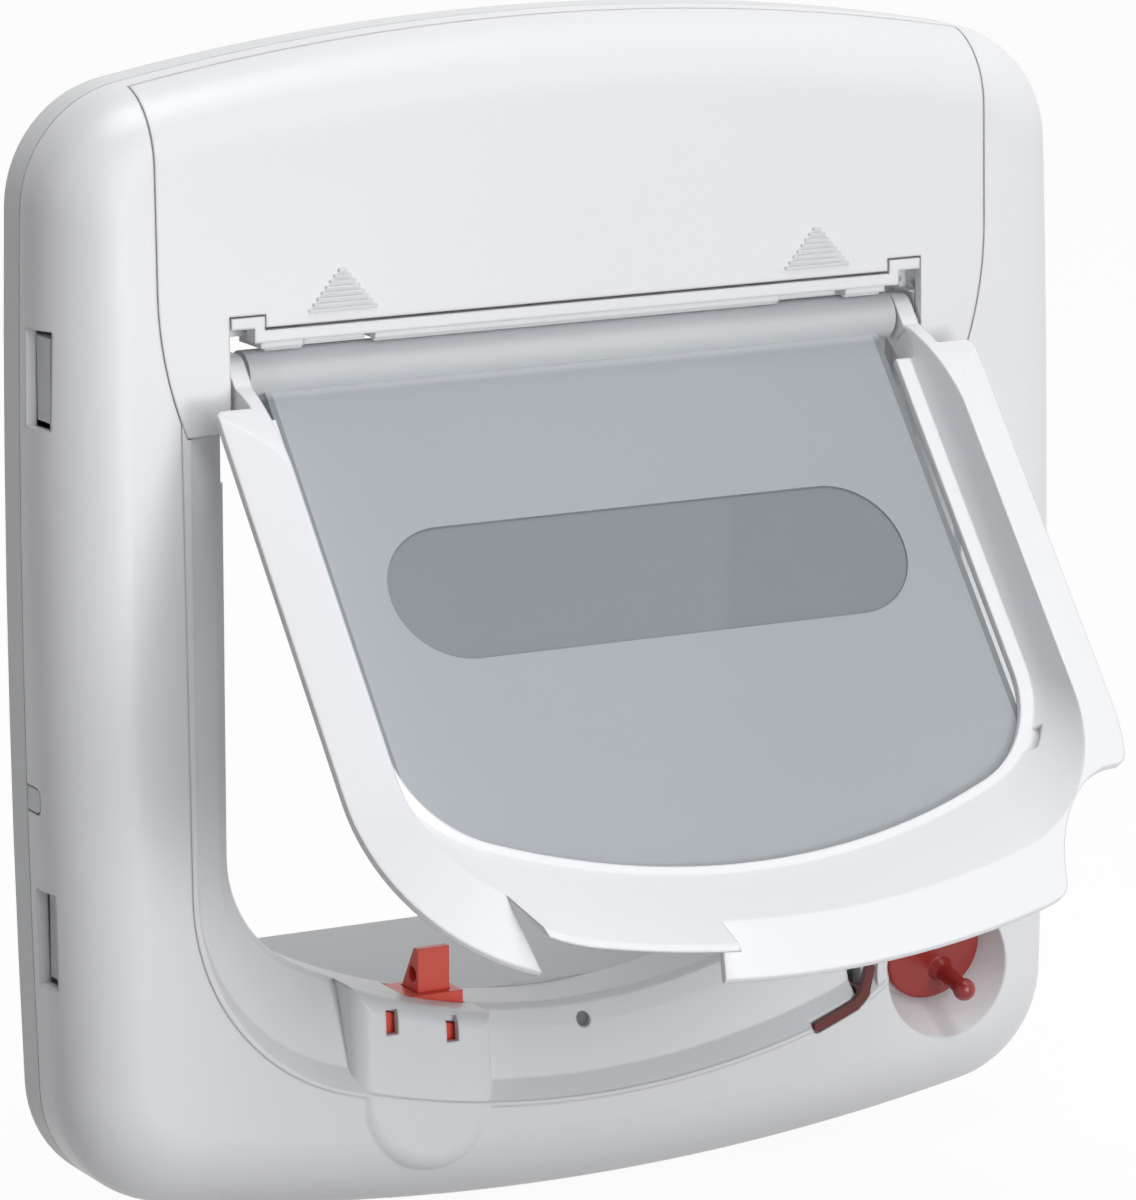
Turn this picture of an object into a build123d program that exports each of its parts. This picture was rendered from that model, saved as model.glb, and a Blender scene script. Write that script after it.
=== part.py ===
from build123d import *
import math
import os

# A lockable cat flap, the unit on the room side of a door with its lining tunnel.
# Millimetres. X runs to the right, +Y into the door and +Z up. The origin is on the door's face,
# midway between the four fixing holes. A "front" value is a distance from the door's face to the room.

# Frame
frame_width = 241.0
frame_height = 252.0
frame_front = 31.0
frame_lean = 1.6
frame_corner = 26.0
frame_edge_round = 16.0
frame_top_radius = 531.0
frame_low_radius = 537.0
frame_side_radius = 2900.0
frame_widest_height = 19.0
wall = 2.5
seam_front = 8.0
seam_gap = 0.3

# Recess round the opening: the ridge on the front face, its foot and the rim of the sill behind,
# each with a half width, a lowest point, a corner radius and a bottom radius
ridge_half = frame_width / 2 - 28.5
ridge_low = 22.4 - frame_height / 2
ridge_corner = 47.0
ridge_bow = 200.0
ridge_shape = (ridge_half, ridge_low, ridge_corner, ridge_bow)
ridge_foot_half = ridge_half - 1.3
ridge_foot_low = ridge_low + 3.6
ridge_foot_corner = 45.5
ridge_foot_bow = 190.0
ridge_foot_shape = (ridge_foot_half, ridge_foot_low, ridge_foot_corner, ridge_foot_bow)
ridge_foot_front = 26.5
sill_half = ridge_half - 12.0
sill_low = ridge_low + 18.1
sill_corner = 28.0
sill_bow = 140.0
sill_shape = (sill_half, sill_low, sill_corner, sill_bow)
sill_front = 20.5
sill_rim = 1.0
bead_width = 1.0
bead_rise = 0.4
throat_top = frame_height / 2 - 61.3
lintel = 2.0
lintel_front = 20.0

# Back plate, fixing holes and side clips
plate_thick = 3.0
fixing_width = 196.0
fixing_height = 190.0
fixing_radius = 2.3
clip_height = 17.5
clip_upper = throat_top - 6.2
clip_lower = ridge_low + 45.1
clip_thick = 2.2
clip_front = 18.0
clip_hook = 6.5
clip_nose = 0.6
clip_gap = 0.5
clip_end_gap = 1.4
tab_middle = ridge_low + 74.0
tab_width = 5.0
tab_front = 14.0
tab_gap = 0.4

# Tunnel through the door
tunnel_half = sill_half + 0.5
tunnel_low = sill_low + 0.5
tunnel_corner = 12.0
tunnel_wall = 2.5
tunnel_back = 55.0
tunnel_flange = 5.0
tunnel_flange_thick = 2.0

# Hinge
hinge_front = 19.8
hinge_height = throat_top - 8.0
hinge_pin_radius = 2.0
running_gap = 0.05
press_gap = 0.02
knuckle_radius = 4.5
rest_open = 40.0

# Top cover
hood_half = frame_width / 2 - 23.1
hood_side_radius = 80.0
hood_side_height = hinge_height + 19.3
hood_leg_low = hinge_height - 10.8
hood_notch_half = sill_half + 1.7
hood_low = throat_top + lintel + 0.5
hood_back = 13.0
arrow_half_span = sill_half - 24.0
arrow_rise = 2.3
arrow_height = 9.0
arrow_half_base = 7.8
arrow_ribs = 8
arrow_rib = 0.55
arrow_proud = 0.35
finger_half_width = 6.9
finger_low = hinge_height + 5.6
finger_front = 22.0
finger_thick = 1.5

# Hinge bar
bar_front = 26.4
bar_thick = 4.0
bar_top = hood_low - 0.6
bar_low = bar_top - 2.5
bar_half = hood_notch_half - 7.9
bar_lug = 2.3
bar_lug_rise = 2.9
bar_lug_gap = 0.4
bar_web = 2.2
bar_web_back = 14.0
bar_lip = 2.2
bar_lip_half = bar_half - 1.0

# Swing surround: outer edge, crest, dish floor and lip, in the same four values as the recess
surround_half = ridge_half - 2.7
surround_low = ridge_low + 7.9
surround_corner = 45.0
surround_bow = 230.0
surround_shape = (surround_half, surround_low, surround_corner, surround_bow)
surround_edge_level = 9.5
surround_top = hood_leg_low - 1.9
surround_top_round = 2.0
crest_half = surround_half - 10.55
crest_low = surround_low + 11.1
crest_corner = 35.0
crest_bow = 200.0
crest_shape = (crest_half, crest_low, crest_corner, crest_bow)
crest_over = 0.4
crest_level = 13.4
floor_half = crest_half - 1.75
floor_low = crest_low + 15.3
floor_corner = 29.0
floor_bow = 152.0
floor_shape = (floor_half, floor_low, floor_corner, floor_bow)
floor_level = 2.8
lip_half = floor_half - 3.6
lip_low = floor_low + 2.0
lip_corner = 26.0
lip_bow = 150.0
surround_thick = 1.8
surround_edge_thick = 1.6

# Clear panel
panel_half = lip_half - 0.8
panel_low = lip_low - 5.0
panel_corner = 26.0
panel_bow = 150.0
panel_thick = 3.2
panel_back_level = -2.5
panel_roll_radius = 5.0
panel_knuckle_outer = panel_half + 3.8
panel_knuckle_inner = panel_knuckle_outer - 7.6
pill_radius = 15.3
pill_half_length = 45.0
pill_height = hinge_height - 55.2
pill_depth = 0.4
knuckle_arm_inner = panel_knuckle_outer + 0.6
knuckle_arm_outer = sill_half + 1.0
knuckle_arm_gap = 0.7
neck_round = 53.5
neck_reach = 35.5
neck_rise = 0.3
neck_root = 6.5

# Catch on the left
housing_middle = 42.5 - sill_half
housing_half = 14.5
housing_left = 18.6
housing_low = ridge_low + 3.6
housing_lobe = 15.5
housing_front = 31.6
housing_tilt = 3.6
housing_round = 4.0
housing_step = 0.7
housing_wall = 1.8
window_width = 2.8
window_height = 5.3
window_left_x = housing_middle - 10.0
window_left_z = sill_low + 3.5
window_right_x = housing_middle + 4.1
window_right_z = sill_low + 0.2
bolt_left = housing_middle + 2.8
bolt_right = bolt_left + 7.5
bolt_back = 9.2
bolt_front = 16.4
bolt_top = sill_low + 14.5
bolt_low = bolt_top - 21.0
bolt_ramp = 9.0
bolt_ramp_crown = 1.8
bolt_hole_radius = 1.75
bolt_hole_drop = 6.0
bolt_gap = 0.35
guide_wall = 1.8
guide_left = bolt_left - 4.0
guide_top = sill_low + 5.0
guide_low = sill_low - 22.5
guide_plate_front = 27.4
guide_plate_thick = 2.0
spring_radius = 2.4
spring_wire = 0.7
spring_turns = 6
coil_radius = 6.2
coil_height = 9.0
core_radius = 2.5
coil_gap = 0.3
apron_left = housing_middle - housing_left - 0.8
apron_right = housing_middle + housing_half + 1.7
apron_left_lean = 15.0
apron_right_lean = 6.0
apron_reach = 0.5

# Turning lock on the right
knob_x = ridge_half - 4.2
knob_z = ridge_low + 19.1
knob_tilt = 12.8
knob_front = 22.0
knob_radius = 11.5
knob_thick = 3.0
knob_round = 0.8
knob_notch = 25.0
knob_notch_round = 4.0
stick_radius = 1.9
stick_ball = 2.5
stick_length = 13.0
stick_x = 2.1
stick_z = -4.3
scoop_radius = 12.3
scoop_mouth = 15.0
boss_radius = 17.8
boss_floor = 2.5
spindle_radius = 3.0
spindle_length = 11.0
spindle_neck = 2.4
clip_ring_radius = 5.0
clip_ring_thick = 1.0
lock_travel = 5.0
lock_steps = 4
lock_blade = 2.2
lock_blade_back = 29.9
lock_blade_front = 31.3
lock_gap = 0.4
lock_stem_back = 21.0
lock_foot = (knob_x - 32.8, knob_z - 11.8)
lock_bend = (knob_x - 26.3, knob_z - 9.3)
lock_corner = (knob_x - 21.2, knob_z - 5.7)
lock_top = (knob_x - 19.9, knob_z - 0.4)
lock_bend_rise = 0.5
lock_slot_height = 5.0
lock_slot_width = 1.6
lock_slot_middle = crest_low + 36.0

# Sill
sensor_x = 2.0
sensor_z = sill_low - 4.2
sensor_hole = 1.6
sensor_back = 12.0
sensor_front = 21.3
magnet_length = 20.0
magnet_width = 5.0
magnet_thick = 2.5

# Cells and board
cell_radius = 7.25
cell_length = 50.5
cell_nub_radius = 2.7
cell_nub = 1.0
cell_gap = 0.4
tray_wall = 1.6
tray_low = throat_top + tunnel_wall + tunnel_flange + 0.8
contact_thick = 0.5
board_width = 15.0
board_height = 34.0
board_thick = 1.6
board_stand = 4.0
board_gap = 1.5
screw_radius = 1.4
screw_head = 2.7
screw_head_height = 1.6
screw_length = 5.0


def slab(sketch, back, front):
    """Straight block from an outline in the X-Z plane, between two distances from the door."""
    return extrude(Plane.XZ.offset(back) * sketch, front - back)


def taper(*sections):
    """Block with straight sloping sides through outlines, each given with its distance from the door."""
    return loft([Plane.XZ.offset(front) * sketch for sketch, front in sections], ruled=True)


def block(x_range, front_range, z_range):
    """Box between two values on each axis."""
    spans = [pair[1] - pair[0] for pair in (x_range, front_range, z_range)]
    centre = [sum(pair) / 2 for pair in (x_range, front_range, z_range)]
    return Pos(centre[0], -centre[1], centre[2]) * Box(*spans)


def rod_x(x_range, radius, front, height):
    """Cylinder along X."""
    length = x_range[1] - x_range[0]
    return Pos(sum(x_range) / 2, -front, height) * Rot(0, 90, 0) * Cylinder(radius, length)


def rod_y(front_range, radius, x, z):
    """Cylinder along Y."""
    length = front_range[1] - front_range[0]
    return Pos(x, -sum(front_range) / 2, z) * Rot(90, 0, 0) * Cylinder(radius, length)


def rod_z(z_range, radius, x, front):
    """Cylinder along Z."""
    return Pos(x, -front, sum(z_range) / 2) * Cylinder(radius, z_range[1] - z_range[0])


def both_sides(part):
    """A piece and its mirror image in the middle plane."""
    return part + mirror(part, about=Plane.YZ)


def frame_outline(inset):
    """Outline of the frame: four bowed edges, each part of a large circle, with rounded corners."""
    half = frame_width / 2
    tall = frame_height / 2
    outline = Pos(0, tall - frame_top_radius) * Circle(frame_top_radius - inset)
    outline &= Pos(0, frame_low_radius - tall) * Circle(frame_low_radius - inset)
    for side in (-1, 1):
        centre = side * (half - frame_side_radius)
        outline &= Pos(centre, frame_widest_height) * Circle(frame_side_radius - inset)
    return fillet(outline.vertices(), frame_corner - inset)


def frame_side(height):
    """Half width of the frame at a height."""
    reach = math.sqrt(frame_side_radius**2 - (height - frame_widest_height) ** 2)
    return frame_width / 2 - frame_side_radius + reach


def u_outline(half, low, corner, bow, top, grow=0.0):
    """Open-topped U: straight sides, round lower corners and a bowed bottom, closed by a straight top."""
    half, low, corner, bow = half + grow, low - grow, corner + grow, bow + grow
    bow_centre = low + bow
    centre_x = half - corner
    reach = bow - corner
    centre_z = bow_centre - math.sqrt(reach**2 - centre_x**2)
    slope = math.atan2(centre_z - bow_centre, centre_x)
    join = (bow * math.cos(slope), bow_centre + bow * math.sin(slope))
    middle = (centre_x + corner * math.cos(slope / 2), centre_z + corner * math.sin(slope / 2))
    edges = [
        Line((half, top), (half, centre_z)),
        ThreePointArc((half, centre_z), middle, join),
        ThreePointArc(join, (0, low), (-join[0], join[1])),
        ThreePointArc((-join[0], join[1]), (-middle[0], middle[1]), (-half, centre_z)),
        Line((-half, centre_z), (-half, top)),
        Line((-half, top), (half, top)),
    ]
    return make_face(edges)


def between(first, second, share):
    """Outline values a share of the way from one outline to another, or past it."""
    return [start + (end - start) * share for start, end in zip(first, second)]


def ridge_outline(top=throat_top, grow=0.0):
    return u_outline(*ridge_shape, top, grow)


def foot_outline(top=throat_top, grow=0.0):
    return u_outline(*ridge_foot_shape, top, grow)


def sill_outline(top=throat_top, grow=0.0):
    return u_outline(*sill_shape, top, grow)


def rim_outline(top=throat_top):
    """A little way up the band from the sill, where the rim's rounding ends."""
    share = 2 * sill_rim / (ridge_foot_front - sill_front)
    return u_outline(*between(sill_shape, ridge_foot_shape, share), top)


def front_at(height):
    """Distance from the door of the frame's leaning front face at a height."""
    return frame_front - (height - ridge_low) * math.tan(math.radians(frame_lean))


def beyond(front, height, tilt, level):
    """Everything in front of a leaning plane, or of one at a level from it."""
    lean = math.radians(tilt)
    normal = Vector(0, -math.cos(lean), math.sin(lean))
    plane = Plane(origin=Vector(0, -front, height) + normal * level, x_dir=(1, 0, 0), z_dir=normal)
    return plane * Pos(0, 0, frame_front) * Box(2 * frame_width, 2 * frame_height, 2 * frame_front)


def beyond_front(level):
    return beyond(frame_front, ridge_low, frame_lean, level)


def beyond_housing(level):
    return beyond(housing_front, housing_low, housing_tilt, level)


def envelope(inset, back, level, edge_round):
    """The frame's bulged block with its leaning front and its large front edge."""
    body = slab(frame_outline(inset), back, 2 * frame_front) - beyond_front(level)
    rim = body.faces().sort_by(Axis.Y)[0].edges()
    return fillet(rim, edge_round)


def hood_outline(grow=0.0):
    """Outline of the top cover with its two legs, running up past the frame's top edge."""
    over = frame_height / 2 + wall
    low = hood_leg_low - grow
    half = hood_half + grow
    bend = Pos(hood_half - hood_side_radius, hood_side_height) * Circle(hood_side_radius + grow)
    leg = Pos(half / 2, (low + hood_side_height) / 2) * Rectangle(half, hood_side_height - low) & bend
    head = Pos(half / 2, (hood_side_height + over) / 2) * Rectangle(half, over - hood_side_height)
    outline = both_sides(leg + head)
    notch_low = hood_leg_low - wall
    notch_top = hood_low - grow
    notch = Rectangle(2 * (hood_notch_half - grow), notch_top - notch_low)
    outline -= Pos(0, (notch_low + notch_top) / 2) * notch
    lug_top = bar_top + bar_lug_rise + bar_lug_gap - grow
    lug_half = (hood_notch_half - bar_half + bar_lug_gap) / 2
    for side in (-1, 1):
        middle = side * (bar_half - bar_lug_gap + lug_half)
        lug_room = Rectangle(2 * (lug_half - grow), lug_top - notch_low)
        outline -= Pos(middle, (notch_low + lug_top) / 2) * lug_room
    return outline


def hood_space(grow):
    """Room that the top cover takes in the frame's shell, or its own block when grow is 0."""
    far = frame_front + wall
    above = block((-frame_width, frame_width), (0, far), (hood_low - grow, frame_height))
    upper = slab(hood_outline(grow), hood_back - grow, far) & above
    legs = slab(hood_outline(grow), front_at(hood_low) - wall - grow, far)
    return upper + legs


def knob_plane(level=0.0):
    """Plane square to the lock's axis, at a level along it from the knob's seat."""
    tilt = math.radians(knob_tilt)
    axis = Vector(0, -math.cos(tilt), -math.sin(tilt))
    seat = Vector(knob_x, -knob_front, knob_z)
    return Plane(origin=seat + axis * level, x_dir=(1, 0, 0), z_dir=axis)


def knob_disc(radius, low, high):
    """Cylinder on the lock's axis between two levels."""
    return extrude(knob_plane(low) * Circle(radius), high - low)


def lock_path():
    """Middle line of the lock's blade: along the foot of the recess, then up beside the knob."""
    middle_x = (lock_bend[0] + lock_corner[0]) / 2 + lock_bend_rise
    middle_z = (lock_bend[1] + lock_corner[1]) / 2 - lock_bend_rise
    bend = ThreePointArc(lock_bend, (middle_x, middle_z), lock_corner)
    return [Line(lock_foot, lock_bend), bend, Line(lock_corner, lock_top)]


def lock_outline(grow=0.0):
    """Blade outline: the path with round ends, widened on both sides."""
    reach = lock_blade / 2 + grow
    shape = Sketch()
    for edge in lock_path():
        points = [edge @ 0, edge @ 0.5, edge @ 1]
        for point in points:
            shape += Pos(point.X, point.Y) * Circle(reach)
        rounds = [Pos(point.X, point.Y) * Circle(reach) for point in points]
        for first, second in zip(rounds, rounds[1:]):
            shape += make_hull(first.edges() + second.edges())
    return shape


def housing_outline(inset=0.0):
    """Catch housing: a box on the sill that runs down into a rounded lobe, wider on its left."""
    lobe = housing_lobe - inset
    tall = throat_top - housing_low
    shape = Sketch()
    for side, reach in ((-1, housing_left - inset), (1, housing_half - inset)):
        box = Pos(side * reach / 2, tall / 2) * Rectangle(reach, tall)
        quarter = Ellipse(reach, lobe) & Pos(side * reach / 2, -lobe / 2) * Rectangle(reach, lobe)
        shape += Pos(housing_middle, housing_low) * (box + quarter)
    return shape


def make_housing(level):
    """Block of the catch housing with its leaning front at a level, behind the opening's edge."""
    back = bolt_front + guide_wall + 3 * bolt_gap
    housing = slab(housing_outline(), back, 2 * frame_front) - beyond_housing(level)
    housing -= slab(sill_outline(), 0, 2 * frame_front)
    return fillet(housing.faces().sort_by(Axis.Y)[0].edges(), housing_round)


def make_front_cover():
    """Bulged frame with the recess round the opening, the catch housing and the lock's scoop."""
    outer = envelope(0, seam_front, 0, frame_edge_round)
    inner = envelope(wall, seam_front - wall, -wall, frame_edge_round - wall)
    liner_face = plate_thick + tunnel_flange_thick + seam_gap
    lintel_top = throat_top + lintel
    funnel = taper(
        (sill_outline(lintel_top, wall), sill_front - wall),
        (foot_outline(lintel_top, wall), ridge_foot_front - wall / 2),
        (ridge_outline(lintel_top, wall), frame_front - wall / 2),
    )
    throat = slab(sill_outline(lintel_top, wall), liner_face, sill_front - wall)
    boss = knob_disc(boss_radius, -boss_floor, frame_front) & outer
    bearing_span = (sill_half, ridge_half - wall)
    bearing = both_sides(rod_x(bearing_span, knuckle_radius + wall, hinge_front, hinge_height))
    bead = slab(ridge_outline(throat_top, bead_width), frame_front - 3 * wall, 2 * frame_front)
    cover = outer - inner + (funnel & outer) + throat + boss + (bead - beyond_front(bead_rise))

    recess = taper(
        (sill_outline(), sill_front - 2 * sill_rim),
        (sill_outline(throat_top, sill_rim), sill_front),
        (rim_outline(), sill_front + 2 * sill_rim),
        (foot_outline(), ridge_foot_front),
        (ridge_outline(), frame_front),
    )
    recess += slab(sill_outline(), 0, sill_front - 2 * sill_rim)
    recess += slab(ridge_outline(), frame_front, 2 * frame_front)
    knob_wall = boss - knob_disc(boss_radius - wall, -boss_floor, frame_front)
    cover = cover - recess + knob_wall + (bearing & outer)

    inside_ridge = slab(ridge_outline(), 0, 2 * frame_front)
    cover += (make_housing(0) - inside_ridge) + (make_housing(-housing_step) & inside_ridge)
    pocket = slab(housing_outline(wall), 0, 2 * frame_front) - beyond_housing(-housing_wall - housing_step)
    cover -= pocket - slab(sill_outline(throat_top, wall), 0, frame_front)
    for x, z in ((window_left_x, window_left_z), (window_right_x, window_right_z)):
        cover -= block(
            (x - window_width / 2, x + window_width / 2),
            (guide_plate_front, frame_front + wall),
            (z - window_height / 2, z + window_height / 2),
        )
    cover -= block(
        (guide_left - bolt_gap, bolt_right + guide_wall + 2 * bolt_gap),
        (bolt_back - guide_wall - 2 * bolt_gap, bolt_front + guide_wall + 2 * bolt_gap),
        (housing_low, bolt_top),
    )

    depth = frame_front - knob_front
    scoop_foot = knob_plane() * Circle(scoop_radius)
    cover -= loft([scoop_foot, knob_plane(2 * depth) * Circle(2 * scoop_mouth - scoop_radius)])
    cover -= knob_disc(spindle_radius + running_gap, -spindle_length, depth)
    for step in range(lock_steps + 1):
        lift = Pos(0, 0, lock_travel * step / lock_steps)
        cover -= lift * slab(lock_outline(lock_gap), lock_blade_back - lock_gap, frame_front + wall)
    stem_hole = Rot(0, 0, 90) * SlotCenterToCenter(lock_travel, lock_blade + 2 * lock_gap)
    stem_hole = Pos(lock_corner[0], lock_corner[1] + lock_travel / 2) * stem_hole
    cover -= slab(stem_hole, lock_stem_back - lock_gap, frame_front)

    cover -= rod_y((sensor_back, frame_front), sensor_hole, sensor_x, sensor_z)
    cover -= both_sides(rod_x((0, ridge_half), hinge_pin_radius + press_gap, hinge_front, hinge_height))
    cover -= both_sides(
        block(
            (sill_half - knuckle_arm_gap, knuckle_arm_outer + knuckle_arm_gap),
            (hinge_front - knuckle_radius - knuckle_arm_gap, frame_front),
            (neck_low() - knuckle_arm_gap, hinge_height + knuckle_radius + knuckle_arm_gap),
        )
    )
    for x in bar_screw_places():
        cover -= rod_z((throat_top, throat_top + lintel), screw_radius, x, bar_screw_front())
    cover -= block(
        (-hood_notch_half, hood_notch_half),
        (lintel_front, frame_front + wall),
        (throat_top - wall, frame_height / 2),
    )
    cover -= hood_space(seam_gap)
    for height in (clip_upper, clip_lower):
        window = block(
            (frame_width / 2 - 4 * wall, frame_width),
            (clip_front - clip_hook - clip_gap, clip_front + clip_gap),
            (height - clip_height / 2 - clip_end_gap, height + clip_height / 2 + clip_end_gap),
        )
        cover -= both_sides(window)
    return cover - both_sides(side_tab(tab_gap, 2 * wall))


def side_tab(grow, depth):
    """Tab of the back plate that stands in a notch of the cover's side, or its room when grown."""
    length = tab_front - seam_front + wall
    tab = Pos(tab_front - length / 2, 0) * Rectangle(length + 2 * grow, tab_width + 2 * grow)
    tab = fillet(tab.vertices().group_by(Axis.X)[-1], tab_width / 3)
    inner_x = frame_side(tab_middle) - wall - tab_gap / 2
    plane = Plane(origin=(inner_x, 0, tab_middle), x_dir=(0, -1, 0), z_dir=(1, 0, 0))
    return extrude(plane * tab, depth)


def make_top_cover():
    """Panel over the head of the frame, with ribbed arrows and two fingers behind the hinge bar."""
    outer = envelope(0, seam_front, 0, frame_edge_round)
    inner = envelope(wall, seam_front - wall, -wall, frame_edge_round - wall)
    cover = (outer - inner) & hood_space(0)
    pitch = arrow_height / arrow_ribs
    for step in range(arrow_ribs):
        half = arrow_half_base * (1 - step / arrow_ribs)
        low = hood_low + arrow_rise + pitch * step
        rib = block(
            (arrow_half_span - half, arrow_half_span + half),
            (front_at(low) - wall / 2, front_at(low) + arrow_proud),
            (low, low + arrow_rib),
        )
        cover += both_sides(rib)
    span = (arrow_half_span - finger_half_width, arrow_half_span + finger_half_width)
    finger_back = finger_front - finger_thick
    finger = block(span, (finger_back, finger_front), (finger_low, hood_low + 2 * wall))
    root_span = (hood_low + wall, hood_low + 2 * wall)
    finger += block(span, (finger_back, front_at(hood_low) - wall / 2), root_span)
    return cover + both_sides(finger)


def make_back_plate():
    """Plate against the door with a rim, the four side clips and the fixing holes."""
    rim_inner = slab(frame_outline(wall), plate_thick, seam_front)
    plate = slab(frame_outline(0), 0, seam_front - seam_gap) - rim_inner
    plate -= slab(tunnel_outline(tunnel_wall + seam_gap), -wall, seam_front)
    for height in (clip_upper, clip_lower):
        tall = (height - clip_height / 2, height + clip_height / 2)
        hook_x = min(frame_side(z) for z in tall) - wall - seam_gap
        arm = block((hook_x - clip_thick, hook_x), (plate_thick / 2, clip_front), tall)
        nose = block((hook_x - clip_thick, hook_x + clip_nose), (clip_front - clip_hook, clip_front), tall)
        plate += both_sides(arm + nose)
    plate += both_sides(side_tab(0, wall))
    for x in (-fixing_width / 2, fixing_width / 2):
        for z in (-fixing_height / 2, fixing_height / 2):
            plate -= rod_y((-wall, seam_front), fixing_radius, x, z)
    for z in board_screw_heights():
        plate += rod_y((plate_thick / 2, plate_thick + board_stand), screw_head, board_centre(), z)
        plate -= rod_y((plate_thick, plate_thick + board_stand + wall), screw_radius, board_centre(), z)
    for x in tray_screw_places():
        plate -= rod_y((plate_thick / 2, seam_front), screw_radius, x, tray_low + tray_height() / 2)
    coil_x = (bolt_left + bolt_right) / 2
    plate += block(
        (coil_x - coil_radius, coil_x + coil_radius),
        (plate_thick / 2, (bolt_back + bolt_front) / 2 + core_radius),
        (coil_low() - wall, coil_low()),
    )
    return plate


def tunnel_outline(grow=0.0):
    """Rounded rectangle of the tunnel's inner face."""
    tall = throat_top - tunnel_low
    shape = Pos(0, (throat_top + tunnel_low) / 2) * RectangleRounded(
        2 * (tunnel_half + grow), tall + 2 * grow, tunnel_corner + grow
    )
    return shape


def make_tunnel_liner():
    """Tube through the door with a flange that rests on the back plate."""
    flange_front = plate_thick + tunnel_flange_thick
    tube = slab(tunnel_outline(tunnel_wall), -tunnel_back, flange_front)
    tube += slab(tunnel_outline(tunnel_wall + tunnel_flange), plate_thick, flange_front)
    return tube - slab(tunnel_outline(), -tunnel_back, flange_front)


def make_hinge_bar():
    """Bar over the flap with raised ends, a lower lip and a web under the lintel."""
    back = bar_front - bar_thick
    lug_end = hood_notch_half - bar_lug_gap
    lug_top = bar_top + bar_lug_rise
    bar = block((-bar_half - bar_lug, bar_half + bar_lug), (back, bar_front), (bar_low, bar_top))
    lug = block((bar_half, bar_half + bar_lug), (back, bar_front), (bar_low, lug_top))
    lug += block((bar_half, lug_end), (back, bar_front), (lug_top - bar_lug, lug_top))
    bar += both_sides(lug)
    web_front = back + bar_thick / 2
    bar += block((-bar_half, bar_half), (bar_web_back, web_front), (throat_top - bar_web, throat_top))
    bar += block((-bar_lip_half, bar_lip_half), (back, back + bar_thick / 3), (bar_low - bar_lip, bar_low))
    span = (arrow_half_span - finger_half_width - wall / 2, arrow_half_span + finger_half_width + wall / 2)
    bar -= both_sides(block(span, (finger_front - finger_thick - wall, back), (bar_low - wall, throat_top)))
    bar -= both_sides(block(span, (back - 1, bar_front), (bar_low - wall, bar_low)))
    for x in bar_screw_places():
        bar -= rod_z((throat_top - wall, throat_top), screw_radius, x, bar_screw_front())
    return bar


def bar_screw_places():
    return (-bar_half / 3, bar_half / 3)


def bar_screw_front():
    return (bar_web_back + lintel_front) / 2


def make_bar_screws():
    """Screws down through the lintel into the bar's web."""
    seat = throat_top + lintel
    screws = []
    for x in bar_screw_places():
        shank = rod_z((throat_top - bar_web, seat), screw_radius - press_gap, x, bar_screw_front())
        head = rod_z((seat, seat + screw_head_height), screw_head, x, bar_screw_front())
        screws.append(shank + head)
    return Compound(children=screws)


def make_hinge_pins():
    """Two steel pins through the surround's and the panel's knuckles."""
    span = (panel_knuckle_inner + wall / 2, ridge_half - wall)
    right = rod_x(span, hinge_pin_radius, hinge_front, hinge_height)
    return Compound(children=[right, mirror(right, about=Plane.YZ)])


def swing_open(part):
    """Turns a piece that is modelled closed to the resting place of the flap."""
    return part.rotate(Axis((0, -hinge_front, hinge_height), (1, 0, 0)), -rest_open)


def surround_outline(grow=0.0):
    return u_outline(*surround_shape, surround_top, grow)


def over_crest_outline():
    """The flange carried on inwards past its crest, at the same slope."""
    return u_outline(*between(surround_shape, crest_shape, 1 + crest_over), surround_top)


def floor_outline(grow=0.0, top=surround_top):
    return u_outline(*floor_shape, top, grow)


def apron_outline(grow=0.0, top=surround_top):
    """The dish carried on outwards past its crest, at the same slope."""
    return u_outline(*between(floor_shape, crest_shape, 1 + apron_reach), top, grow)


def apron_plan():
    """Stretch above the catch housing where the flange is left out, with leaning ends."""
    low = surround_low - wall
    tall = floor_low - low
    left = apron_left - tall * math.tan(math.radians(apron_left_lean))
    right = apron_right + tall * math.tan(math.radians(apron_right_lean))
    return Polygon((apron_left, low), (apron_right, low), (right, floor_low), (left, floor_low), align=None)


def level(value):
    """Distance from the door of a level on the closed flap, measured from the hinge axis."""
    return hinge_front + value


def surround_plan():
    """Outer edge seen from the front, cut away round the knob, with its corners rounded."""
    plan = surround_outline() - Pos(knob_x, knob_z) * Circle(knob_notch)
    notch = [v for v in plan.vertices() if v.X > 0 and v.Y < 0 and is_on_notch(v)]
    plan = fillet(notch, knob_notch_round)
    top = [v for v in plan.vertices() if v.Y > surround_top - running_gap]
    return fillet(top, surround_top_round)


def is_on_notch(vertex):
    reach = math.hypot(vertex.X - knob_x, vertex.Y - knob_z)
    return abs(reach - knob_notch) < running_gap


def neck_low():
    """Height where the hinge arms have run out into the surround's walls."""
    return surround_top - 5 * surround_thick


def neck_corner():
    """Side view of the surround's upper end, from where its crest turns down to the hinge."""
    low = hinge_height - neck_reach
    return Pos(0, low) * Rectangle(2 * frame_front, neck_reach, align=Align.MIN)


def neck_round_face(inset=0.0):
    """Side view of the round that the crest follows down to the hinge, with all that is below it."""
    middle = level(crest_level) + neck_rise - neck_round
    return neck_corner() & Pos(middle, hinge_height - neck_reach) * Circle(neck_round - inset)


def across(side_view, half):
    """Block from a side view, over the same half width on both sides."""
    plane = Plane(origin=(half, 0, 0), x_dir=(0, -1, 0), z_dir=(-1, 0, 0))
    return extrude(plane * side_view, 2 * half)


def arms(side_view, inner):
    """The surround's two hinge arms from their side view."""
    plane = Plane(origin=(knuckle_arm_outer, 0, 0), x_dir=(0, -1, 0), z_dir=(-1, 0, 0))
    return both_sides(extrude(plane * side_view, knuckle_arm_outer - inner))


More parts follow.
